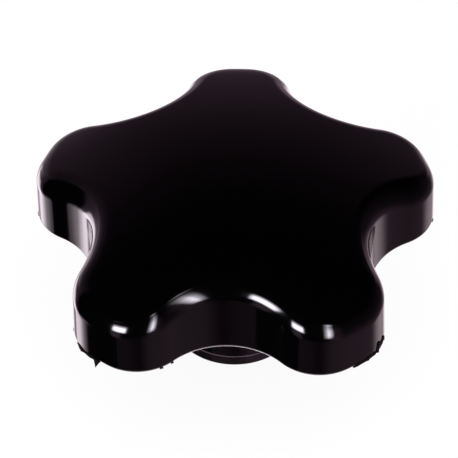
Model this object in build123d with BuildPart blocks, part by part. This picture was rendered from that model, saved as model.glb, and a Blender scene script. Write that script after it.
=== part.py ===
from build123d import *

import os
from math import radians, sqrt, tan

# A five-lobed star knob: one glossy moulding, head and hub together, round a knurled brass bush
# with a blind M10 thread. Lengths are millimetres and angles degrees. The origin is the centre of
# the hub's end face, which seats on the clamped part. +Z is the thread's axis, up to the crown, and
# one lobe points along +Y.

# Head, measured where its wall meets the flat underside, called the rim
lobe_count = 5
head_diameter = 63.0  # circle that the lobe tips touch
waist_diameter = 44.6  # circle that the finger hollows touch
hollow_radius = 10.9  # finger hollow in plan
lobe_corner_radius = 7.7  # lobe's two corners in plan
draft_angle = 2.7  # wall leans in towards the crown
wall_height = 8.9  # rim to the crown's sphere, over the tip circle
crown_rise = 6.0  # tip circle to the top of the crown
top_edge_radius = 3.8  # round where the wall meets the crown
rim_edge_radius = 0.6  # round where the wall meets the underside

# Hub
hub_length = 17.5  # seat to rim
hub_diameter = 20.0
hub_root_radius = 2.0  # hollow round between the hub and the underside
land_height = 1.6  # band left by trimming the hub's end
land_step = 0.15  # band stands out from the hub by this
land_chamfer = 0.15

# Moulded-in bush, flush with the seat
bush_diameter = 14.0  # over the knurl
bush_length = 20.0
bush_collar = 1.2  # plain band at each end of the bush
knurl_teeth = 24
knurl_depth = 0.5
groove_width = 3.0  # retention groove between the two knurled bands
groove_depth = 1.0  # below the knurl's tips
thread_diameter = 10.0
tap_drill_diameter = 8.5  # smooth wall that stands for the thread's crests
thread_length = 16.0  # seat to the end of the drill's full diameter
drill_point_angle = 118.0
countersink_angle = 120.0
countersink_clearance = 0.05  # countersink's mouth beyond the thread, on radius

head_radius = head_diameter / 2
waist_radius = waist_diameter / 2
hub_radius = hub_diameter / 2
hollow_side = -90.0  # direction of the first finger hollow, opposite the lobe on +Y
crown_radius = (head_radius**2 + crown_rise**2) / (2 * crown_rise)
crown_top = hub_length + wall_height + crown_rise


def bush_form():
    """The bush before it is drilled: the room that the moulding leaves for it."""
    tip_radius = bush_diameter / 2
    with BuildPart() as form:
        with BuildSketch():
            Circle(tip_radius - knurl_depth)
        extrude(amount=bush_length)
        with BuildSketch(Plane.XY.offset(bush_collar)):
            Circle(tip_radius)
            with PolarLocations(tip_radius, knurl_teeth):
                Rectangle(knurl_depth * sqrt(2), knurl_depth * sqrt(2), rotation=45, mode=Mode.SUBTRACT)
        extrude(amount=bush_length - 2 * bush_collar)
        with BuildSketch(Plane.XY.offset((bush_length - groove_width) / 2)):
            Circle(tip_radius)
            Circle(tip_radius - groove_depth, mode=Mode.SUBTRACT)
        extrude(amount=groove_width, mode=Mode.SUBTRACT)
    return form.part


def star(height):
    """The head's outline at a height over the rim, as a sketch. The wall's arcs keep their centres."""
    inset = height * tan(radians(draft_angle))
    with BuildSketch(Plane.XY.offset(hub_length + height)) as outline:
        with PolarLocations(0, 1, start_angle=hollow_side):
            Circle(head_radius - inset)  # turned so that its seam falls in a hollow
        with PolarLocations(waist_radius + hollow_radius, lobe_count, start_angle=hollow_side):
            Circle(hollow_radius + inset, mode=Mode.SUBTRACT)
        fillet(outline.vertices(), radius=lobe_corner_radius - inset)
    return outline.sketch


# Moulding: star-shaped head under a spherical crown
with BuildPart() as knob_body:
    add(star(0))
    add(star(crown_top - hub_length))
    loft(ruled=True)
    with Locations((0, 0, crown_top - crown_radius)):
        Sphere(crown_radius, rotation=(90, 0, 90), mode=Mode.INTERSECT)  # its poles clear of the crown
    crown = knob_body.faces().sort_by(Axis.Z)[-1]
    fillet(crown.edges(), radius=top_edge_radius)
    underside = knob_body.faces().sort_by(Axis.Z)[0]
    fillet(underside.edges(), radius=rim_edge_radius)

    # Hub, turned in section, with the trimmed land at its end
    with BuildSketch(Plane.XZ):
        with BuildLine():
            Polyline(
                (0, hub_length + rim_edge_radius),
                (0, 0),
                (hub_radius + land_step - land_chamfer, 0),
                (hub_radius + land_step, land_chamfer),
                (hub_radius + land_step, land_height - land_step),
                (hub_radius, land_height),
                (hub_radius, hub_length - hub_root_radius),
            )
            root = RadiusArc(
                (hub_radius, hub_length - hub_root_radius),
                (hub_radius + hub_root_radius, hub_length),
                hub_root_radius,
            )
            Polyline(
                root @ 1,
                (hub_radius + hub_root_radius, hub_length + rim_edge_radius),
                (0, hub_length + rim_edge_radius),
            )
        make_face()
    revolve(axis=Axis.Z)
    add(bush_form(), mode=Mode.SUBTRACT)

# Bush: brass, drilled blind from the seat and countersunk for the thread
with BuildPart() as threaded_bush:
    add(bush_form())
    drill_radius = tap_drill_diameter / 2
    point_height = drill_radius / tan(radians(drill_point_angle / 2))
    with Locations(Location((0, 0, 0), (180, 0, 0))):
        CounterSinkHole(
            drill_radius,
            thread_diameter / 2 + countersink_clearance,
            depth=thread_length,
            counter_sink_angle=countersink_angle,
        )
    with Locations((0, 0, thread_length + point_height / 2)):
        Cone(drill_radius, 0, point_height, mode=Mode.SUBTRACT)

os.makedirs("parts", exist_ok=True)
knob_body.part.label = "knob_body"
export_step(knob_body.part, "parts/knob_body.step")
threaded_bush.part.label = "threaded_bush"
export_step(threaded_bush.part, "parts/threaded_bush.step")
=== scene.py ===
"""Looks of a five-lobed star knob: a glossy black moulding on a knurled brass bush with an M10 thread.

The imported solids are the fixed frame. The moulding and the bush are drawn again here on the same
sizes, finer and with the thread cut, and the ragged flash of the mould stands on the head's rim.
"""

import logging
import math
from dataclasses import dataclass
from enum import Enum

import bpy
import numpy as np
from mathutils import Matrix, Vector


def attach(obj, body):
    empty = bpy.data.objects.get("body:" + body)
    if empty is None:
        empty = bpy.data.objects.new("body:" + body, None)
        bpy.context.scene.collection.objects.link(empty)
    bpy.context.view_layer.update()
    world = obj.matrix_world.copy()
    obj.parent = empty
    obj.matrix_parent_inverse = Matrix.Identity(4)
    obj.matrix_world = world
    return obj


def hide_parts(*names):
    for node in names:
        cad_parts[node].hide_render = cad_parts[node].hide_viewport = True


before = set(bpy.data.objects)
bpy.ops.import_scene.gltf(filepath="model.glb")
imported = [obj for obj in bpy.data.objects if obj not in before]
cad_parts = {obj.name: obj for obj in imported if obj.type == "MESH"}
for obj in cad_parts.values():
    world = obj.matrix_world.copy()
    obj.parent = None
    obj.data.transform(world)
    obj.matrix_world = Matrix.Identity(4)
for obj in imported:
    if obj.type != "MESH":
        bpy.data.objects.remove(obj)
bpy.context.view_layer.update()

log = logging.getLogger("star_knob")

Tree = bpy.types.NodeTree
Socket = bpy.types.NodeSocket
Stops = tuple[tuple[float, float], ...]
Limits = tuple[float, float, float, float]

MM = 0.001
SHARP_ANGLE = math.radians(32.0)
UP = np.array([0.0, 0.0, 1.0])
LEAST_FADE = 0.001  # radians over which even a patch's hard edge fades
WAVE_RATE = 20.0  # radians that a wave texture turns over one unit at a scale of one
WHITE = "#ffffff"


# ---- surfaces


def unit(vectors: np.ndarray) -> np.ndarray:
    """Vectors scaled to length one along their last axis."""
    return vectors / np.linalg.norm(vectors, axis=-1, keepdims=True)


def turn_between(first: np.ndarray, last: np.ndarray, share: float) -> np.ndarray:
    """Unit vectors part of the way from first to last along a great circle.

    With w the angle between them it is (sin((1 - share) w) first + sin(share w) last) / sin(w).

    Args:
        first: unit vectors shaped (columns, 3).
        last: unit vectors shaped (columns, 3).
        share: 0 at first, 1 at last.

    Returns:
        Unit vectors shaped (columns, 3).
    """
    angle = np.arccos(np.clip((first * last).sum(-1, keepdims=True), -1.0, 1.0))
    return (np.sin((1 - share) * angle) * first + np.sin(share * angle) * last) / np.sin(angle)


def ring_of(radius: np.ndarray | float, height: np.ndarray | float, angle: np.ndarray) -> np.ndarray:
    """A ring about +Z: x = radius cos(angle), y = radius sin(angle), z = height.

    Args:
        radius: one radius, or one for each column.
        height: one height, or one for each column.
        angle: the columns' angles in radians.

    Returns:
        Points shaped (columns, 3).
    """
    return np.stack([radius * np.cos(angle), radius * np.sin(angle), height * np.ones_like(angle)], -1)


def tube_quads(rows: int, columns: int, first: int = 0) -> np.ndarray:
    """Quads that join each closed ring of a tube to the next one.

    Args:
        rows: how many rings there are.
        columns: how many points a ring has.
        first: the number of the first ring's first point.

    Returns:
        Point numbers shaped ((rows - 1) * columns, 4).
    """
    column = np.arange(columns)
    after = (column + 1) % columns
    row = first + np.arange(rows - 1)[:, None] * columns
    quads = np.stack([row + column, row + columns + column, row + columns + after, row + after], -1)
    return quads.reshape(-1, 4)


def mesh_from(name: str, points: np.ndarray, face_sets: list[np.ndarray]) -> bpy.types.Object:
    """A mesh object made from points and arrays of faces, set as whole arrays.

    Args:
        name: the piece's name.
        points: shaped (count, 3), in millimetres.
        face_sets: integer arrays shaped (faces, corners), each of one corner count.

    Returns:
        The new object, linked to the scene, smooth except along its sharp edges.
    """
    mesh = bpy.data.meshes.new(name)
    corners = np.concatenate([faces.ravel() for faces in face_sets]).astype(np.int32)
    counts = np.concatenate([np.full(len(faces), faces.shape[1]) for faces in face_sets])
    starts = np.concatenate([[0], np.cumsum(counts)[:-1]]).astype(np.int32)
    mesh.vertices.add(len(points))
    mesh.vertices.foreach_set("co", (np.asarray(points) * MM).astype(np.float32).ravel())
    mesh.loops.add(len(corners))
    mesh.loops.foreach_set("vertex_index", corners)
    mesh.polygons.add(len(starts))
    mesh.polygons.foreach_set("loop_start", starts)
    mesh.update(calc_edges=True)
    mesh.validate()
    mesh.polygons.foreach_set("use_smooth", np.ones(len(mesh.polygons), bool))
    mesh.set_sharp_from_angle(angle=SHARP_ANGLE)
    mesh.update()
    piece = bpy.data.objects.new(name, mesh)
    bpy.context.scene.collection.objects.link(piece)
    return piece


def closed_by_poles(
    name: str, rings: list[np.ndarray], start: np.ndarray, end: np.ndarray
) -> bpy.types.Object:
    """A closed mesh of rings joined by quads, with a fan to one point at each end.

    Args:
        name: the piece's name.
        rings: rings of equal column count, anticlockwise from above, ordered so that the outer
            side is passed on the way down and the inner side on the way up.
        start: the pole before the first ring, in millimetres.
        end: the pole after the last ring, in millimetres.

    Returns:
        The new object, linked to the scene.
    """
    grid = np.stack(rings)
    rows, columns = grid.shape[:2]
    points = np.concatenate([grid.reshape(-1, 3), [start, end]])
    column = np.arange(columns)
    after = (column + 1) % columns
    first_fan = np.stack([np.full(columns, rows * columns), column, after], -1)
    low = (rows - 1) * columns
    last_fan = np.stack([np.full(columns, rows * columns + 1), low + after, low + column], -1)
    return mesh_from(name, points, [tube_quads(rows, columns), first_fan, last_fan])


# ---- the brass bush


@dataclass
class Bush:
    """The moulded-in bush: knurled and grooved outside, drilled, countersunk and tapped. Millimetres."""

    diameter: float = 14.0
    length: float = 20.0
    collar: float = 1.2
    teeth: int = 24
    knurl_depth: float = 0.5
    groove_width: float = 3.0
    groove_depth: float = 1.0
    thread_diameter: float = 10.0
    thread_pitch: float = 1.5
    drill_diameter: float = 8.5
    drill_depth: float = 16.0
    drill_point: float = 118.0
    countersink: float = 120.0
    countersink_clearance: float = 0.05
    tapped_depth: float = 13.0
    thread_angle: float = 60.0
    root_flat_pitches: float = 0.125
    run_out_turns: float = 1.5
    columns: int = 360
    rows_per_pitch: int = 12

    def knurl_radius(self, angle: np.ndarray) -> np.ndarray:
        """Radius of the knurl: the tip circle less a right-angled V at each tooth space.

        r = tip - max(0, depth - |arc from the nearest space's middle|).

        Args:
            angle: the columns' angles in radians.

        Returns:
            One radius for each column.
        """
        tip = self.diameter / 2
        pitch = 2 * math.pi / self.teeth
        off_middle = np.abs((angle + pitch / 2) % pitch - pitch / 2)
        return tip - np.maximum(0.0, self.knurl_depth - tip * off_middle)

    def outer_rings(self, angle: np.ndarray) -> list[np.ndarray]:
        """Rings of the bush's outside from its inner end down to the seat.

        Args:
            angle: the columns' angles in radians.

        Returns:
            Rings shaped (columns, 3), the first at the bush's inner end.
        """
        plain = self.diameter / 2 - self.knurl_depth
        groove = self.diameter / 2 - self.groove_depth
        knurl = self.knurl_radius(angle)
        groove_top = (self.length + self.groove_width) / 2
        groove_foot = (self.length - self.groove_width) / 2
        steps = [
            (plain, self.length),
            (plain, self.length - self.collar),
            (knurl, self.length - self.collar),
            (knurl, groove_top),
            (groove, groove_top),
            (groove, groove_foot),
            (knurl, groove_foot),
            (knurl, self.collar),
            (plain, self.collar),
            (plain, 0.0),
        ]
        return [ring_of(radius, height, angle) for radius, height in steps]

    def thread_radius(self, angle: np.ndarray, height: np.ndarray) -> np.ndarray:
        """Radius of the tapped wall, with the thread run out at its end.

        Along the axis the distance from the nearest groove's middle is a, which climbs one pitch a
        turn, and r = root radius - max(0, a - root flat / 2) / tan(half the thread's angle), never
        under the drilled wall.

        Args:
            angle: shaped (1, columns), in radians.
            height: shaped (rows, 1).

        Returns:
            Radii shaped (rows, columns).
        """
        pitch = self.thread_pitch
        climb = height - pitch * angle / (2 * math.pi)
        off_groove = np.abs((climb + pitch / 2) % pitch - pitch / 2)
        up_flank = np.maximum(0.0, off_groove - self.root_flat_pitches * pitch / 2)
        groove = self.thread_diameter / 2 - up_flank / math.tan(math.radians(self.thread_angle / 2))
        run_out = np.clip((self.tapped_depth - height) / (self.run_out_turns * pitch), 0.0, 1.0)
        wall = self.drill_diameter / 2
        return wall + np.maximum(0.0, groove - wall) * run_out

    def bore_rings(self, angle: np.ndarray) -> list[np.ndarray]:
        """Rings of the countersunk and tapped bore, from the seat up to the drill's full depth.

        Args:
            angle: the columns' angles in radians.

        Returns:
            Rings shaped (columns, 3), the first at the countersink's mouth.
        """
        mouth = self.thread_diameter / 2 + self.countersink_clearance
        rows = int(self.tapped_depth / self.thread_pitch * self.rows_per_pitch) + 1
        height = np.linspace(0.0, self.tapped_depth, rows)[:, None]
        cone = mouth - height * math.tan(math.radians(self.countersink / 2))
        radius = np.maximum(self.thread_radius(angle[None, :], height), cone)
        tapped = [ring_of(r, h[0], angle) for r, h in zip(radius, height)]
        return tapped + [ring_of(self.drill_diameter / 2, self.drill_depth, angle)]

    def build(self) -> bpy.types.Object:
        """The bush as one closed piece that stands for the CAD node.

        Returns:
            The new piece.
        """
        angle = np.arange(self.columns) * (2 * math.pi / self.columns)
        rings = self.outer_rings(angle) + self.bore_rings(angle)
        point = self.drill_depth + self.drill_diameter / 2 / math.tan(math.radians(self.drill_point / 2))
        piece = closed_by_poles("tapped_bush", rings, UP * self.length, UP * point)
        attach(piece, "root")
        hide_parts("threaded_bush")
        return piece


# ---- the moulding


@dataclass
class StarHead:
    """The moulded head: a drafted five-lobed wall under a spherical crown. Millimetres and degrees.

    The rim outline is arcs only, all tangent: a tip arc about the axis, a corner arc on each side
    of it, and a hollow arc between lobes. The wall leans in by the draft, so that every height of
    it is the rim outline moved along its own normal.
    """

    lobes: int = 5
    head_diameter: float = 63.0
    waist_diameter: float = 44.6
    hollow_radius: float = 10.9
    corner_radius: float = 7.7
    draft: float = 2.7
    wall_height: float = 8.9
    crown_rise: float = 6.0
    top_round: float = 3.8
    rim_round: float = 0.6
    rim_height: float = 17.5
    step_share: float = 0.40
    step_rise: float = 0.03
    step_width: float = 0.40
    columns_per_lobe: int = 144
    crown_rings: int = 30
    crown_start: float = 0.02
    round_start: float = 0.04
    above_step_rings: int = 8
    step_rings: int = 13
    step_reach: float = 0.6
    below_step_rings: int = 10
    wall_shares: tuple[float, ...] = (0.02, 0.2, 0.4, 0.6, 0.8, 0.98)
    rim_rings: int = 8

    @property
    def crown_radius(self) -> float:
        """Radius of the crown's sphere, from its rise over the tip circle."""
        tip = self.head_diameter / 2
        return (tip**2 + self.crown_rise**2) / (2 * self.crown_rise)

    @property
    def apex(self) -> np.ndarray:
        """The crown's highest point."""
        return UP * (self.rim_height + self.wall_height + self.crown_rise)

    @property
    def sphere_centre(self) -> np.ndarray:
        """Centre of the crown's sphere."""
        return self.apex - UP * self.crown_radius

    @property
    def first_angle(self) -> float:
        """Direction of the outline's first column, a hollow's middle; the lobe after it is on +Y."""
        return math.pi / 2 - math.pi / self.lobes

    def outline(self) -> tuple[np.ndarray, np.ndarray]:
        """The rim's outline and its outward normals, evenly spaced along the arcs.

        On half a lobe the normal's direction t grows along the tip arc and the corner arc and falls
        back along the hollow arc, and the point is centre + radius (cos t, sin t) with the hollow's
        radius taken as negative. The other half is its mirror image, and the lobe is turned round.

        Returns:
            Points and unit normals, each shaped (columns, 3) with z = 0.
        """
        tip, corner, hollow = self.head_diameter / 2, self.corner_radius, self.hollow_radius
        half_pitch = math.pi / self.lobes
        reach = self.waist_diameter / 2 + hollow
        inner = tip - corner
        between = math.acos((reach**2 + inner**2 - (corner + hollow) ** 2) / (2 * reach * inner))
        corner_from = half_pitch - between
        corner_centre = inner * np.array([math.cos(corner_from), math.sin(corner_from)])
        hollow_centre = reach * np.array([math.cos(half_pitch), math.sin(half_pitch)])
        corner_to = math.atan2(*(hollow_centre - corner_centre)[::-1])
        tip_end = tip * corner_from
        corner_end = tip_end + corner * (corner_to - corner_from)
        hollow_end = corner_end + hollow * (corner_to - half_pitch)

        way = np.linspace(-hollow_end, hollow_end, self.columns_per_lobe, endpoint=False)
        far = np.abs(way)
        parts = [far < tip_end, far < corner_end]
        on_tip, on_corner = far / tip, corner_from + (far - tip_end) / corner
        heading = np.select(parts, [on_tip, on_corner], corner_to - (far - corner_end) / hollow)
        radius = np.select(parts, [tip, corner], -hollow)
        centre_x = np.select(parts, [0.0, corner_centre[0]], hollow_centre[0])
        centre_y = np.select(parts, [0.0, corner_centre[1]], hollow_centre[1])
        side = np.where(way < 0, -1.0, 1.0)
        ahead = centre_x + radius * np.cos(heading)
        aside = side * (centre_y + radius * np.sin(heading))
        point = np.stack([ahead, aside], -1)
        normal = np.stack([np.cos(heading), side * np.sin(heading)], -1)

        turns = math.pi / 2 + np.arange(self.lobes) * 2 * half_pitch
        matrix = np.array([[np.cos(turns), -np.sin(turns)], [np.sin(turns), np.cos(turns)]])
        turned = [np.einsum("abk,cb->kca", matrix, flat).reshape(-1, 2) for flat in (point, normal)]
        points, normals = (np.concatenate([flat, np.zeros((len(flat), 1))], -1) for flat in turned)
        return points, normals

    def rings(self) -> list[np.ndarray]:
        """Rings of the head from the crown's middle down to the flat of the underside.

        Each round is a ball of its radius rolled along the wall: its centre stays one radius inside
        the wall and inside the crown or over the underside, and the surface is centre + radius n,
        where n turns from one face's normal to the other's. The crown is z = c + sqrt(R^2 - x^2 - y^2).
        The mould's crown plate leaves the crown a little proud of the rest, by a step of the form
        rise (1 - t^2 (3 - 2t)) across its width, part of the way down the top round.

        Returns:
            Rings shaped (columns, 3), in millimetres.
        """
        points, normals = self.outline()
        base = points + UP * self.rim_height
        lean = math.radians(self.draft)
        outward = normals * math.cos(lean) + UP * math.sin(lean)
        upward = UP * math.cos(lean) - normals * math.sin(lean)

        ball = self.top_round
        sphere = self.sphere_centre
        start = base - ball * outward - sphere
        along = (start * upward).sum(-1)
        climb = -along + np.sqrt(along**2 - (start**2).sum(-1) + (self.crown_radius - ball) ** 2)
        centre = sphere + start + climb[:, None] * upward
        crown_normal = unit(centre - sphere)
        crown_edge = centre + ball * crown_normal

        crown = []
        for share in np.linspace(self.crown_start, 1.0, self.crown_rings):
            flat = crown_edge[:, :2] * share
            height = np.sqrt(self.crown_radius**2 - (flat**2).sum(-1, keepdims=True))
            proud = self.step_rise * share**2 * (3 - 2 * share)
            crown.append(sphere + (self.crown_radius + proud) * unit(np.concatenate([flat, height], -1)))

        sweep = ball * np.arccos((crown_normal * outward).sum(-1, keepdims=True))
        off_step = self.step_width * np.linspace(-self.step_reach, self.step_reach, self.step_rings)
        places = self.step_share + off_step / sweep.mean()
        inner = np.linspace(self.round_start, places[0], self.above_step_rings)[:-1]
        outer = np.linspace(places[-1], 1.0, self.below_step_rings)[1:]
        top = []
        for share in (*inner, *places, *outer):
            down = np.clip((share - self.step_share) * sweep / self.step_width + 0.5, 0.0, 1.0)
            proud = self.step_rise * (1 - down**2 * (3 - 2 * down))
            top.append(centre + (ball + proud) * turn_between(crown_normal, outward, share))

        rim_ball = self.rim_round
        rim_climb = rim_ball * (1 + math.sin(lean)) / math.cos(lean)
        rim_centre = base + rim_climb * upward - rim_ball * outward
        rim_start = rim_centre + rim_ball * outward
        wall = [top[-1] + share * (rim_start - top[-1]) for share in self.wall_shares]
        down = np.broadcast_to(-UP, outward.shape)
        turned = np.linspace(0, 1, self.rim_rings)
        rim = [rim_centre + rim_ball * turn_between(outward, down, share) for share in turned]
        return crown + top + wall + rim


@dataclass
class Hub:
    """The hub under the head, with the band left by trimming its end. Millimetres."""

    length: float = 17.5
    diameter: float = 20.0
    root_radius: float = 2.0
    land_height: float = 1.95
    land_step: float = 0.08
    land_chamfer: float = 0.15
    land_margin: float = 0.2
    barrel_heights: tuple[float, ...] = (12.0, 7.0)
    root_rings: int = 11

    def rings(self, angle: np.ndarray) -> list[np.ndarray]:
        """Rings from the hollow round at the underside down to the seat, a turned profile.

        Args:
            angle: the columns' angles in radians.

        Returns:
            Rings shaped (columns, 3), the last at the seat's outer edge.
        """
        radius, root = self.diameter / 2, self.root_radius
        turn = np.linspace(0.0, math.pi / 2, self.root_rings)
        hollow = [(radius + root * (1 - math.sin(t)), self.length - root * (1 - math.cos(t))) for t in turn]
        land = radius + self.land_step
        foot = [
            *((radius, height) for height in self.barrel_heights),
            (radius, self.land_height + self.land_margin),
            (radius, self.land_height),
            (land, self.land_height - self.land_step),
            (land, self.land_height / 2),
            (land, self.land_chamfer),
            (land - self.land_chamfer, 0.0),
        ]
        return [ring_of(r, z, angle) for r, z in hollow + foot]


@dataclass
class Moulding:
    """The one-piece moulding: star head, hub and the room that it leaves for the bush."""

    head: StarHead
    hub: Hub
    bush: Bush
    underside_shares: tuple[float, ...] = (0.02, 0.35, 0.7, 0.97)
    seat_shares: tuple[float, ...] = (0.03, 0.5)

    def build(self) -> bpy.types.Object:
        """The moulding as one closed piece that stands for the CAD node.

        The underside and the seat are flat, with rings straight from edge to edge.

        Returns:
            The new piece.
        """
        head = self.head.rings()
        columns = len(head[0])
        angle = self.head.first_angle + np.arange(columns) * (2 * math.pi / columns)
        hub = self.hub.rings(angle)
        underside = [head[-1] + share * (hub[0] - head[-1]) for share in self.underside_shares]
        pocket = self.bush.outer_rings(angle)[::-1]
        seat = [hub[-1] + share * (pocket[0] - hub[-1]) for share in self.seat_shares]
        rings = head + underside + hub + seat + pocket
        piece = closed_by_poles("star_moulding", rings, self.head.apex, UP * self.bush.length)
        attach(piece, "root")
        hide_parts("knob_body")
        return piece


@dataclass
class FlashStrip:
    """A run of flash torn off along the rim. Millimetres, and degrees of azimuth about the axis.

    The reach is counted from the rim's outline, so a scrap with a negative one sits back on the
    rim's round. A spike is its azimuth, its length, and its half width in degrees: it hangs down
    by its length and leans out by a share of it.
    """

    start: float
    end: float
    reach: float
    height: float
    seed: int
    spikes: tuple[tuple[float, float, float], ...] = ()
    sample_spacing: float = 0.12
    lump_spacing: float = 0.45
    least_samples: int = 8
    least_lumps: int = 4
    least_swell: float = 0.1
    least_rise: float = 0.55
    reach_grit: float = 0.5
    height_grit: float = 0.25
    spike_lean: float = 0.3
    end_slope: float = 6.0
    end_share: float = 0.05

    def rim(self, head: StarHead, azimuth: np.ndarray) -> tuple[np.ndarray, np.ndarray]:
        """Points and outward normals of the head's rim at the given azimuths.

        Args:
            head: the head whose rim it is.
            azimuth: in degrees.

        Returns:
            Points and unit normals, each shaped (samples, 3).
        """
        points, normals = head.outline()
        turn = np.degrees(np.arctan2(points[:, 1], points[:, 0]))
        columns = np.concatenate([points, normals], -1).T
        at = np.stack([np.interp(azimuth, turn, column, period=360) for column in columns], -1)
        return at[:, :3] + UP * head.rim_height, unit(at[:, 3:])

    def sections(self, head: StarHead) -> np.ndarray:
        """The strip's closed sections along the rim, rooted inside the wall.

        Each section is six corners, anticlockwise as seen against the strip's run: a root under the
        skin, a tip that stands out by the reach, and a top that fades into the wall. Reach and
        height follow lumps of a fixed random order, with a finer roughness on them.

        Args:
            head: the head whose rim it is.

        Returns:
            Points shaped (samples, 6, 3), in millimetres.
        """
        random = np.random.default_rng(self.seed)
        length = math.radians(self.end - self.start) * head.head_diameter / 2
        samples = max(self.least_samples, int(length / self.sample_spacing))
        lumps = max(self.least_lumps, int(length / self.lump_spacing))
        share = np.linspace(0.0, 1.0, samples)
        azimuth = self.start + share * (self.end - self.start)
        point, normal = self.rim(head, azimuth)
        places = np.linspace(0.0, 1.0, lumps)
        swell, rise = (np.interp(share, places, random.random(lumps)) for _ in range(2))
        grit = random.random((samples, 4)) - 0.5
        window = np.clip(self.end_slope * np.minimum(share, 1 - share), self.end_share, 1.0)

        lump = self.least_swell + (1 - self.least_swell) * swell**2
        reach = self.reach * window * lump * (1 + self.reach_grit * grit[:, 0])
        crest = self.least_rise + (1 - self.least_rise) * rise
        top = self.height * window**0.5 * crest * (1 + self.height_grit * grit[:, 1])
        droop = np.zeros(samples)
        for place, spike, half_width in self.spikes:
            shape = np.clip(1 - np.abs(azimuth - place) / half_width, 0.0, 1.0)
            reach = reach + self.spike_lean * spike * shape
            droop = droop + spike * shape

        # How far out from the outline and up from the rim each corner of the section stands.
        flat = np.ones(samples)
        root = -0.55 * flat, 0.12 * flat
        foot = 0.5 * reach, 0.02 - 0.8 * droop
        tip = reach, 0.14 - droop + 0.1 * grit[:, 3]
        shoulder = 0.7 * reach * (1 + grit[:, 2]), 0.45 * top
        peak = 0.04 + 0.12 * reach, top
        back = -0.40 * flat, 0.9 * top
        corners = zip(root, foot, tip, shoulder, peak, back)
        out, up = (np.stack(offsets, -1)[..., None] for offsets in corners)
        return point[:, None, :] + out * normal[:, None, :] + up * UP


@dataclass
class Flash:
    """All the flash on the rim, as one piece of several closed strips."""

    head: StarHead
    strips: tuple[FlashStrip, ...]

    def build(self) -> bpy.types.Object:
        """The flash as one piece that rides with the moulding.

        Returns:
            The new piece.
        """
        points, quads, caps = [], [], []
        first = 0
        for strip in self.strips:
            sections = strip.sections(self.head)
            samples, corners = sections.shape[:2]
            corner = np.arange(corners)
            quads.append(tube_quads(samples, corners, first))
            caps += [first + corner, first + (samples - 1) * corners + corner[::-1]]
            points.append(sections.reshape(-1, 3))
            first += samples * corners
        piece = mesh_from("mould_flash", np.concatenate(points), [np.concatenate(quads), np.stack(caps)])
        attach(piece, "root")
        return piece


# ---- finishes


def linear(colour: str) -> tuple[float, float, float, float]:
    """An sRGB colour turned linear: c / 12.92 up to 0.04045, ((c + 0.055) / 1.055) ^ 2.4 above it.

    Args:
        colour: the sRGB hex value, such as "#1a2b3c".

    Returns:
        Linear red, green and blue, and an alpha of one.
    """
    parts = [int(colour[i : i + 2], 16) / 255 for i in (1, 3, 5)]
    return *[c / 12.92 if c <= 0.04045 else ((c + 0.055) / 1.055) ** 2.4 for c in parts], 1.0


def node(
    tree: Tree, kind: str, settings: dict[str | int, object], links: dict[str | int, Socket]
) -> bpy.types.Node:
    """Adds a node with its settings, socket values and links.

    Sockets that share a name go by number: a Map Range has its value at 0 and its limits at 1 to 4,
    and a Mix its factor at 0, numbers at 2 and 3, colours at 6 and 7, and their mix at output 2.

    Args:
        tree: the node tree.
        kind: the node's type name.
        settings: node properties by name, and socket values by socket name or number.
        links: output sockets by the name or number of the input that they feed.

    Returns:
        The new node.
    """
    made = tree.nodes.new(kind)
    for name, value in settings.items():
        if isinstance(name, int) or name in made.inputs:
            made.inputs[name].default_value = value
        else:
            setattr(made, name, value)
    for name, source in links.items():
        tree.links.new(source, made.inputs[name])
    return made


def blank_material(name: str) -> bpy.types.Material:
    """A new material with an empty node tree.

    Args:
        name: the finish's name.

    Returns:
        The material.
    """
    material = bpy.data.materials.new(name)
    material.use_nodes = True
    material.node_tree.nodes.clear()
    return material


def brightness(tree: Tree, source: Socket, stops: Stops) -> Socket:
    """A brightness read off a list of stops.

    Args:
        tree: the node tree.
        source: the place along the list, from 0 to 1.
        stops: pairs of place and brightness, the first at 0 and the last at 1.

    Returns:
        The brightness.
    """
    made = node(tree, "ShaderNodeValToRGB", {}, {0: source})
    elements = made.color_ramp.elements
    for element, (_, value) in zip(elements, (stops[0], stops[-1])):
        element.color = (value, value, value, 1.0)
    for place, value in stops[1:-1]:
        elements.new(place).color = (value, value, value, 1.0)
    return made.outputs["Color"]


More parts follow.
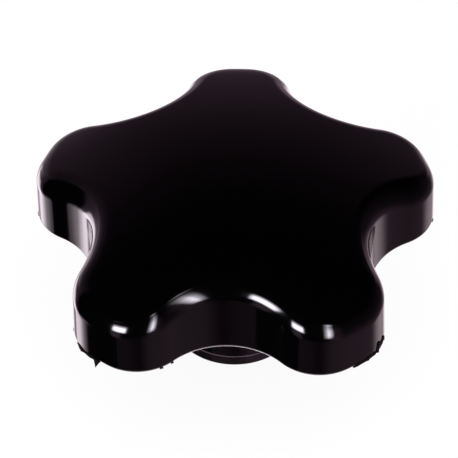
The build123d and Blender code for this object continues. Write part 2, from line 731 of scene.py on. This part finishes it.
@dataclass(frozen=True)
class Phenolic:
    """Black phenolic moulding compound, compression moulded in a polished mould.

    To the eye it is near-black with a hard gloss. The gloss is not quite even: it follows the
    slight waviness that the hot material leaves as it shrinks. The trimmed band is a little paler
    and glossed in flecks. Its ledge is painted as a thin grey line, a painted highlight where the
    ledge catches the light. The flecks are drawn coarser than the tenth of a millimetre of the
    real filler, so that they show.
    """

    colour: str = "#010101"
    # The ledge's grey is a painted highlight: the light that the ledge catches, painted as its colour.
    cut_colour: str = "#080506"
    ledge_highlight_colour: str = "#3a3337"
    ior: float = 1.5
    roughness: float = 0.09
    roughness_spread: float = 0.03
    drift_mm: float = 9.0
    wave_mm: float = 7.0
    wave_height_mm: float = 0.010
    fleck_mm: float = 0.5
    fleck_limits: tuple[float, float] = (0.35, 0.7)
    cut_roughness: tuple[float, float] = (0.06, 0.14)
    cut_height_mm: float = 0.015
    edge_mm: float = 0.05

    def build(self, hub: Hub) -> bpy.types.Material:
        """The moulding's material, cut through to the filler where the hub's end was trimmed.

        Args:
            hub: gives the heights of the trimmed band and of the ledge over it.

        Returns:
            The new material.
        """
        material = blank_material("phenolic")
        tree = material.node_tree
        place = node(tree, "ShaderNodeTexCoord", {}, {}).outputs["Object"]

        # Masks by height: one for the whole trimmed band, one for the ledge at its top, where the grey is a
        # painted highlight.
        height = node(tree, "ShaderNodeSeparateXYZ", {}, {0: place}).outputs["Z"]
        ledge_foot = hub.land_height - hub.land_step
        band_edge = {1: hub.land_height * MM, 2: (hub.land_height + self.edge_mm) * MM, 3: 1.0, 4: 0.0}
        band = node(tree, "ShaderNodeMapRange", band_edge, {0: height}).outputs[0]
        ledge_highlight_edge = {1: (ledge_foot - self.edge_mm) * MM, 2: ledge_foot * MM, 3: 0.0, 4: 1.0}
        over_foot = node(tree, "ShaderNodeMapRange", ledge_highlight_edge, {0: height}).outputs[0]
        ledge_highlight = node(tree, "ShaderNodeMath", {"operation": "MULTIPLY"}, {0: band, 1: over_foot}).outputs[0]
        fleck_settings = {"Scale": 1 / (self.fleck_mm * MM), "Detail": 3.0, "Roughness": 0.7}
        fleck = node(tree, "ShaderNodeTexNoise", fleck_settings, {"Vector": place}).outputs["Fac"]

        skin_or_cut = {"data_type": "RGBA", 6: linear(self.colour), 7: linear(self.cut_colour)}
        base = node(tree, "ShaderNodeMix", skin_or_cut, {0: band}).outputs[2]
        # Paints the ledge grey: a painted highlight where the ledge catches the light.
        or_ledge_highlight = {"data_type": "RGBA", 7: linear(self.ledge_highlight_colour)}
        base = node(tree, "ShaderNodeMix", or_ledge_highlight, {0: ledge_highlight, 6: base}).outputs[2]

        # Slow drift of the gloss over about a lobe's width, and the cut band's flecked gloss.
        drift_settings = {"Scale": 1 / (self.drift_mm * MM), "Detail": 4.0, "Roughness": 0.55}
        drift = node(tree, "ShaderNodeTexNoise", drift_settings, {"Vector": place}).outputs["Fac"]
        half_spread = self.roughness_spread / 2
        gloss_range = {3: self.roughness - half_spread, 4: self.roughness + half_spread}
        gloss = node(tree, "ShaderNodeMapRange", gloss_range, {0: drift}).outputs[0]
        cut_range = dict(enumerate((*self.fleck_limits, *self.cut_roughness), start=1))
        cut = node(tree, "ShaderNodeMapRange", cut_range, {0: fleck}).outputs[0]
        rough = node(tree, "ShaderNodeMix", {"data_type": "FLOAT"}, {0: band, 2: gloss, 3: cut}).outputs[0]

        # Waviness of the moulded skin, and the grain of the cut band.
        wave_settings = {"Scale": 1 / (self.wave_mm * MM), "Detail": 1.5, "Roughness": 0.4}
        wave = node(tree, "ShaderNodeTexNoise", wave_settings, {"Vector": place}).outputs["Fac"]
        skin_settings = {"Strength": 1.0, "Distance": self.wave_height_mm * MM}
        skin = node(tree, "ShaderNodeBump", skin_settings, {"Height": wave}).outputs[0]
        grain = node(tree, "ShaderNodeMath", {"operation": "MULTIPLY"}, {0: band, 1: fleck}).outputs[0]
        relief_settings = {"Strength": 1.0, "Distance": self.cut_height_mm * MM}
        relief = node(tree, "ShaderNodeBump", relief_settings, {"Height": grain, "Normal": skin}).outputs[0]

        links = {"Base Color": base, "Roughness": rough, "Normal": relief}
        shader = node(tree, "ShaderNodeBsdfPrincipled", {"IOR": self.ior}, links)
        node(tree, "ShaderNodeOutputMaterial", {}, {"Surface": shader.outputs[0]})
        return material


@dataclass(frozen=True)
class TornPhenolic:
    """The same compound where the flash broke off, its wood-flour filler laid open.

    To the eye it is matt and brown-black, and hardly catches the lamps. The grain is drawn coarser
    than the tenth of a millimetre of the real flour, so that it shows.
    """

    colour: str = "#0d0504"
    ior: float = 1.5
    specular_level: float = 0.03
    roughness: float = 0.7
    grain_mm: float = 0.35
    grain_height_mm: float = 0.15

    def build(self) -> bpy.types.Material:
        """The flash's material, with a torn grain.

        Returns:
            The new material.
        """
        material = blank_material("phenolic_torn")
        tree = material.node_tree
        place = node(tree, "ShaderNodeTexCoord", {}, {}).outputs["Object"]
        grain_settings = {"Scale": 1 / (self.grain_mm * MM), "Detail": 3.0, "Roughness": 0.7}
        grain = node(tree, "ShaderNodeTexNoise", grain_settings, {"Vector": place}).outputs["Fac"]
        relief_settings = {"Strength": 1.0, "Distance": self.grain_height_mm * MM}
        relief = node(tree, "ShaderNodeBump", relief_settings, {"Height": grain}).outputs[0]
        settings = {
            "Base Color": linear(self.colour),
            "IOR": self.ior,
            "Specular IOR Level": self.specular_level,
            "Roughness": self.roughness,
        }
        shader = node(tree, "ShaderNodeBsdfPrincipled", settings, {"Normal": relief})
        node(tree, "ShaderNodeOutputMaterial", {}, {"Surface": shader.outputs[0]})
        return material


@dataclass(frozen=True)
class Brass:
    """Free-machining brass, turned: to the eye warm yellow metal with fine rings of the tool's feed.

    The feed is drawn coarser than the real tenth of a millimetre, so that it shows.
    """

    colour: str = "#e0c27e"
    roughness: float = 0.28
    feed_mm: float = 0.25
    ring_height_mm: float = 0.004

    def build(self) -> bpy.types.Material:
        """The bush's material.

        Returns:
            The new material.
        """
        material = blank_material("brass")
        tree = material.node_tree
        place = node(tree, "ShaderNodeTexCoord", {}, {}).outputs["Object"]
        ring_settings = {
            "wave_type": "RINGS",
            "rings_direction": "Z",
            "Scale": 1 / (WAVE_RATE * self.feed_mm * MM) * 2 * math.pi,
            "Distortion": 0.3,
            "Detail": 1.0,
        }
        rings = node(tree, "ShaderNodeTexWave", ring_settings, {"Vector": place}).outputs["Fac"]
        relief_settings = {"Strength": 1.0, "Distance": self.ring_height_mm * MM}
        relief = node(tree, "ShaderNodeBump", relief_settings, {"Height": rings}).outputs[0]
        settings = {"Base Color": linear(self.colour), "Metallic": 1.0, "Roughness": self.roughness}
        shader = node(tree, "ShaderNodeBsdfPrincipled", settings, {"Normal": relief})
        node(tree, "ShaderNodeOutputMaterial", {}, {"Surface": shader.outputs[0]})
        return material


# ---- studio


class Ray(Enum):
    """The kinds of ray that the studio tells apart, by the names of Light Path's outputs."""

    CAMERA = "Is Camera Ray"
    GLOSSY = "Is Glossy Ray"
    TRANSMISSION = "Is Transmission Ray"


@dataclass
class Viewpoint:
    """The camera: a long lens close to the knob, over the gap between two lobes."""

    elevation: float = 44.4
    azimuth: float = -87.0
    roll: float = -1.25
    distance_mm: float = 276.5
    aim_height_mm: float = 17.5
    lens_mm: float = 142.1
    shift: tuple[float, float] = (-0.0102, 0.0233)
    sensor_mm: float = 36.0
    clip_start_mm: float = 10.0

    def build(self) -> bpy.types.Object:
        """The camera, set as the scene's own.

        Returns:
            The camera's object.
        """
        data = bpy.data.cameras.new("camera")
        data.sensor_width = self.sensor_mm
        data.lens = self.lens_mm
        data.shift_x, data.shift_y = self.shift
        data.clip_start = self.clip_start_mm * MM
        up, round_z = math.radians(self.elevation), math.radians(self.azimuth)
        back = Vector((math.cos(round_z) * math.cos(up), math.sin(round_z) * math.cos(up), math.sin(up)))
        camera = bpy.data.objects.new("camera", data)
        camera.location = (Vector((0.0, 0.0, self.aim_height_mm)) + back * self.distance_mm) * MM
        camera.rotation_mode = "QUATERNION"
        turned = Matrix.Rotation(math.radians(self.roll), 4, "Z").to_quaternion()
        camera.rotation_quaternion = (-back).to_track_quat("-Z", "Y") @ turned
        bpy.context.scene.collection.objects.link(camera)
        bpy.context.scene.camera = camera
        return camera


@dataclass
class SoftLamp:
    """A rectangular soft light that faces the knob, shaded off towards its edges.

    The profiles are pairs of place and brightness: across from the left edge to the right one as
    the lamp sees it, and upward from its lower edge to its upper one. Millimetres and degrees.
    """

    name: str
    azimuth: float
    distance_mm: float
    height_mm: float
    width_mm: float
    tall_mm: float
    radiance: float
    across: Stops
    upward: Stops
    lean: float = 0.0
    colour: str = "#f8f0ff"

    def build(self) -> bpy.types.Object:
        """The lamp. Its power is 4 x radiance x area, which gives it that radiance.

        Returns:
            The lamp's object.
        """
        data = bpy.data.lights.new(self.name, "AREA")
        data.shape = "RECTANGLE"
        data.size, data.size_y = self.width_mm * MM, self.tall_mm * MM
        data.energy = 4 * self.radiance * data.size * data.size_y
        data.use_nodes = True
        tree = data.node_tree
        tree.nodes.clear()
        place = node(tree, "ShaderNodeNewGeometry", {}, {}).outputs["Parametric"]
        axes = node(tree, "ShaderNodeSeparateXYZ", {}, {0: place}).outputs
        profiles = enumerate((self.across, self.upward))
        shares = {axis: brightness(tree, axes[axis], stops) for axis, stops in profiles}
        share = node(tree, "ShaderNodeMath", {"operation": "MULTIPLY"}, shares).outputs[0]
        glow = node(tree, "ShaderNodeEmission", {"Color": linear(self.colour)}, {"Strength": share})
        node(tree, "ShaderNodeOutputLight", {}, {"Surface": glow.outputs[0]})
        turn = math.radians(self.azimuth)
        lamp = bpy.data.objects.new(self.name, data)
        lamp.location = Vector((math.cos(turn), math.sin(turn), 0.0)) * self.distance_mm * MM
        lamp.location.z = self.height_mm * MM
        inward = Vector((-math.cos(turn), -math.sin(turn), 0.0))
        leaning = Matrix.Rotation(math.radians(self.lean), 4, "Z").to_quaternion()
        lamp.rotation_mode = "QUATERNION"
        lamp.rotation_quaternion = inward.to_track_quat("-Z", "Y") @ leaning
        bpy.context.scene.collection.objects.link(lamp)
        return lamp


@dataclass(frozen=True)
class Patch:
    """A soft-edged patch of the surroundings, in degrees as seen from the knob.

    Azimuth and elevation each give where the full brightness starts and ends, and how far it takes
    to fade outside the one and the other.
    """

    name: str
    brightness: float
    azimuth: Limits
    elevation: Limits

    def window(self, tree: Tree, angle: Socket, limits: Limits) -> Socket:
        """One between the limits and falling smoothly to nought outside them.

        Args:
            tree: the node tree.
            angle: in radians.
            limits: start, end, fade before and fade after, in degrees.

        Returns:
            The share, from 0 to 1.
        """
        start, end, before, after = (math.radians(limit) for limit in limits)
        edges = {"interpolation_type": "SMOOTHSTEP", 1: start - max(before, LEAST_FADE), 2: start}
        rise = node(tree, "ShaderNodeMapRange", edges, {0: angle}).outputs[0]
        edges = {"interpolation_type": "SMOOTHSTEP", 1: end, 2: end + max(after, LEAST_FADE), 3: 1.0, 4: 0.0}
        fall = node(tree, "ShaderNodeMapRange", edges, {0: angle}).outputs[0]
        return node(tree, "ShaderNodeMath", {"operation": "MULTIPLY"}, {0: rise, 1: fall}).outputs[0]

    def build(self, tree: Tree, azimuth: Socket, elevation: Socket) -> Socket:
        """The patch's brightness for a direction.

        Args:
            tree: the node tree.
            azimuth: in radians.
            elevation: in radians.

        Returns:
            The brightness.
        """
        middle = math.radians((self.azimuth[0] + self.azimuth[1]) / 2)
        limits = {"operation": "WRAP", 1: middle - math.pi, 2: middle + math.pi}
        turned = node(tree, "ShaderNodeMath", limits, {0: azimuth}).outputs[0]
        across = self.window(tree, turned, self.azimuth)
        upward = self.window(tree, elevation, self.elevation)
        share = node(tree, "ShaderNodeMath", {"operation": "MULTIPLY"}, {0: across, 1: upward}).outputs[0]
        scaled = {"operation": "MULTIPLY", 1: self.brightness}
        return node(tree, "ShaderNodeMath", scaled, {0: share}).outputs[0]


@dataclass
class Studio:
    """A white floor, an even white room, lamps, and the dim surroundings that the gloss mirrors.

    The casts tint the surroundings: one where they are dark, and one for the pale parts on each
    side. The shadow's share is how much of the floor's own shading the camera sees. Metres.
    """

    lamps: tuple[SoftLamp, ...]
    patches: tuple[Patch, ...]
    floor_radius: float = 1.5
    floor_drop: float = 0.00004
    floor_sides: int = 96
    floor_colour: str = "#f7f7f7"
    shadow_share: float = 0.12
    dim_cast: str = "#ffcbf3"
    left_cast: str = "#fff0fb"
    right_cast: str = "#ffe8e4"

    def floor(self) -> bpy.types.Object:
        """A white floor that keeps a light shadow and is clear from below.

        Returns:
            The floor.
        """
        side = np.arange(self.floor_sides)
        turn = side * (2 * math.pi / self.floor_sides)
        points = ring_of(self.floor_radius / MM, -self.floor_drop / MM, turn)
        piece = mesh_from("floor", points, [side[None, :]])
        material = blank_material("floor_white")
        tree = material.node_tree
        white = linear(WHITE)
        path = node(tree, "ShaderNodeLightPath", {}, {}).outputs
        lit = node(tree, "ShaderNodeBsdfDiffuse", {"Color": linear(self.floor_colour)}, {}).outputs[0]
        glow = node(tree, "ShaderNodeEmission", {"Color": white, "Strength": 1.0}, {}).outputs[0]
        plain = node(tree, "ShaderNodeMixShader", {0: 1 - self.shadow_share}, {1: lit, 2: glow}).outputs[0]
        seen_by = {0: path[Ray.CAMERA.value], 1: path[Ray.TRANSMISSION.value]}
        sees = node(tree, "ShaderNodeMath", {"operation": "MAXIMUM"}, seen_by).outputs[0]
        top = node(tree, "ShaderNodeMixShader", {}, {0: sees, 1: lit, 2: plain}).outputs[0]
        clear = node(tree, "ShaderNodeBsdfTransparent", {"Color": white}, {}).outputs[0]
        back = node(tree, "ShaderNodeNewGeometry", {}, {}).outputs["Backfacing"]
        both = node(tree, "ShaderNodeMixShader", {}, {0: back, 1: top, 2: clear}).outputs[0]
        node(tree, "ShaderNodeOutputMaterial", {}, {"Surface": both})
        piece.data.materials.append(material)
        piece.visible_glossy = False
        piece.visible_shadow = False
        return piece

    def room(self) -> bpy.types.World:
        """White to the camera, even for soft light, and dim patches for what the gloss mirrors.

        Returns:
            The world, set as the scene's own.
        """
        world = bpy.data.worlds.new("room")
        bpy.context.scene.world = world
        world.use_nodes = True
        tree = world.node_tree
        tree.nodes.clear()
        way = node(tree, "ShaderNodeTexCoord", {}, {}).outputs["Generated"]
        axes = node(tree, "ShaderNodeSeparateXYZ", {}, {0: way}).outputs
        flat = {0: axes["Y"], 1: axes["X"]}
        azimuth = node(tree, "ShaderNodeMath", {"operation": "ARCTAN2"}, flat).outputs[0]
        elevation = node(tree, "ShaderNodeMath", {"operation": "ARCSINE"}, {0: axes["Z"]}).outputs[0]
        seen = self.patches[0].build(tree, azimuth, elevation)
        for patch in self.patches[1:]:
            glow = patch.build(tree, azimuth, elevation)
            seen = node(tree, "ShaderNodeMath", {"operation": "ADD"}, {0: seen, 1: glow}).outputs[0]
        glossy = node(tree, "ShaderNodeLightPath", {}, {}).outputs[Ray.GLOSSY.value]
        even = {"data_type": "FLOAT", 2: 1.0}
        strength = node(tree, "ShaderNodeMix", even, {0: glossy, 3: seen}).outputs[0]
        sides = {"data_type": "RGBA", 6: linear(self.left_cast), 7: linear(self.right_cast)}
        side = node(tree, "ShaderNodeMix", sides, {0: axes["X"]}).outputs[2]
        casts = {"data_type": "RGBA", 6: linear(self.dim_cast)}
        cast = node(tree, "ShaderNodeMix", casts, {0: seen, 7: side}).outputs[2]
        tints = {"data_type": "RGBA", 6: linear(WHITE)}
        tint = node(tree, "ShaderNodeMix", tints, {0: glossy, 7: cast}).outputs[2]
        glow = node(tree, "ShaderNodeBackground", {}, {"Color": tint, "Strength": strength})
        node(tree, "ShaderNodeOutputWorld", {}, {"Surface": glow.outputs[0]})
        world.cycles.sampling_method = "NONE"
        return world

    def build(self) -> None:
        """Sets the floor, the room and the lamps."""
        self.floor()
        self.room()
        for lamp in self.lamps:
            lamp.build()


STRIPS = (
    FlashStrip(305.0, 313.4, reach=0.24, height=0.8, seed=11),
    FlashStrip(312.8, 318.7, reach=0.24, height=1.8, seed=12, spikes=((318.2, 0.3, 0.4), (313.6, 0.2, 0.5))),
    FlashStrip(224.9, 234.5, reach=0.3, height=0.7, seed=14, spikes=((228.2, 0.1, 0.7), (233.6, 1.15, 0.85))),
    FlashStrip(219.2, 221.0, reach=0.14, height=0.25, seed=3),
    FlashStrip(250.5, 251.2, reach=-0.34, height=0.7, seed=8),
    FlashStrip(252.9, 253.3, reach=-0.36, height=0.45, seed=9),
    FlashStrip(169.4, 171.4, reach=0.12, height=0.25, seed=2),
    FlashStrip(8.4, 9.8, reach=0.10, height=0.25, seed=4),
)
LAMPS = (
    SoftLamp(
        "softbox_left",
        azimuth=236.5,
        distance_mm=330.0,
        height_mm=60.0,
        width_mm=155.0,
        tall_mm=170.0,
        radiance=26.5,
        across=((0.0, 0.0), (0.12, 0.7), (0.3, 1.0), (0.8, 1.0), (0.92, 0.6), (1.0, 0.0)),
        upward=((0.0, 0.0), (0.2, 0.8), (0.35, 1.0), (0.6, 1.0), (0.75, 0.4), (1.0, 0.0)),
    ),
    SoftLamp(
        "strip_right",
        azimuth=294.0,
        distance_mm=200.0,
        height_mm=74.0,
        width_mm=60.0,
        tall_mm=220.0,
        radiance=19.0,
        lean=-5.0,
        across=((0.0, 0.0), (0.3, 0.4), (0.5, 1.0), (0.7, 0.6), (1.0, 0.0)),
        upward=((0.0, 0.0), (0.1, 0.5), (0.25, 1.0), (0.5, 0.9), (0.7, 0.45), (0.85, 0.25), (1.0, 0.0)),
    ),
)
# What the gloss mirrors round the knob.
ROOM = (
    Patch("under_the_sheet", 1.5, azimuth=(0, 360, 0, 0), elevation=(-90, -58, 0, 8)),
    Patch("sheet_behind", 2.5, azimuth=(143, 152, 13, 27), elevation=(-90, -40, 0, 10)),
    Patch("sheet_behind_right", 1.0, azimuth=(75, 116, 35, 16), elevation=(-90, -32, 0, 14)),
    Patch("sheet_left", 0.6, azimuth=(158, 176, 14, 9), elevation=(-90, -42, 0, 6)),
    Patch("sheet_far_left", 0.7, azimuth=(174, 186, 6, 6), elevation=(-40.4, -37, 1.0, 8)),
    Patch("sheet_right", 0.75, azimuth=(28, 40, 25, 14), elevation=(-90, -43, 0, 10)),
    Patch("sheet_near_right", 0.13, azimuth=(-60, 62, 28, 20), elevation=(-90, -42, 0, 40)),
    Patch("sheet_near_left", 0.04, azimuth=(-131, -112, 4, 26), elevation=(-90, -38, 0, 10)),
    Patch("sheet_in_front", 0.035, azimuth=(-131, -70, 4, 30), elevation=(-90, -38, 0, 10)),
    Patch("pale_corner", 3.4, azimuth=(134, 150, 12, 6), elevation=(-33, -21, 12, 10)),
    Patch("wall_behind", 0.22, azimuth=(116, 146, 12, 12), elevation=(-20, 8, 10, 14)),
    Patch("horizon_behind", 0.3, azimuth=(50, 140, 15, 12), elevation=(-30, -4, 10, 7)),
    Patch("haze_behind", 0.135, azimuth=(58, 161, 18, 8), elevation=(-90, 0, 0, 62)),
    Patch("haze_left", 0.07, azimuth=(125, 160, 25, 8), elevation=(-90, 10, 0, 55)),
    Patch("haze_right", 0.06, azimuth=(-45, 62, 30, 20), elevation=(-90, -12, 0, 55)),
    Patch("left_lamp_halo", 0.45, azimuth=(-136, -126, 9, 8), elevation=(-26, 14, 14, 10)),
    Patch("right_lamp_halo", 0.15, azimuth=(-62, -50, 9, 12), elevation=(-26, 14, 12, 16)),
)


def main() -> None:
    """Builds the knob and the studio, and reports each piece."""
    logging.basicConfig(level=logging.INFO, format="%(message)s")
    scene = bpy.context.scene
    scene.view_settings.view_transform = "Standard"
    bush, head, hub = Bush(), StarHead(), Hub()
    pieces = {
        "moulding": Moulding(head, hub, bush).build(),
        "bush": bush.build(),
        "flash": Flash(head, STRIPS).build(),
    }
    pieces["moulding"].data.materials.append(Phenolic().build(hub))
    pieces["flash"].data.materials.append(TornPhenolic().build())
    pieces["bush"].data.materials.append(Brass().build())
    Viewpoint().build()
    Studio(LAMPS, ROOM).build()
    for name, piece in pieces.items():
        triangles = sum(len(face.vertices) - 2 for face in piece.data.polygons)
        log.info("%s: %s, %d triangles", name, piece.name, triangles)


if __name__ == "__main__":
    main()
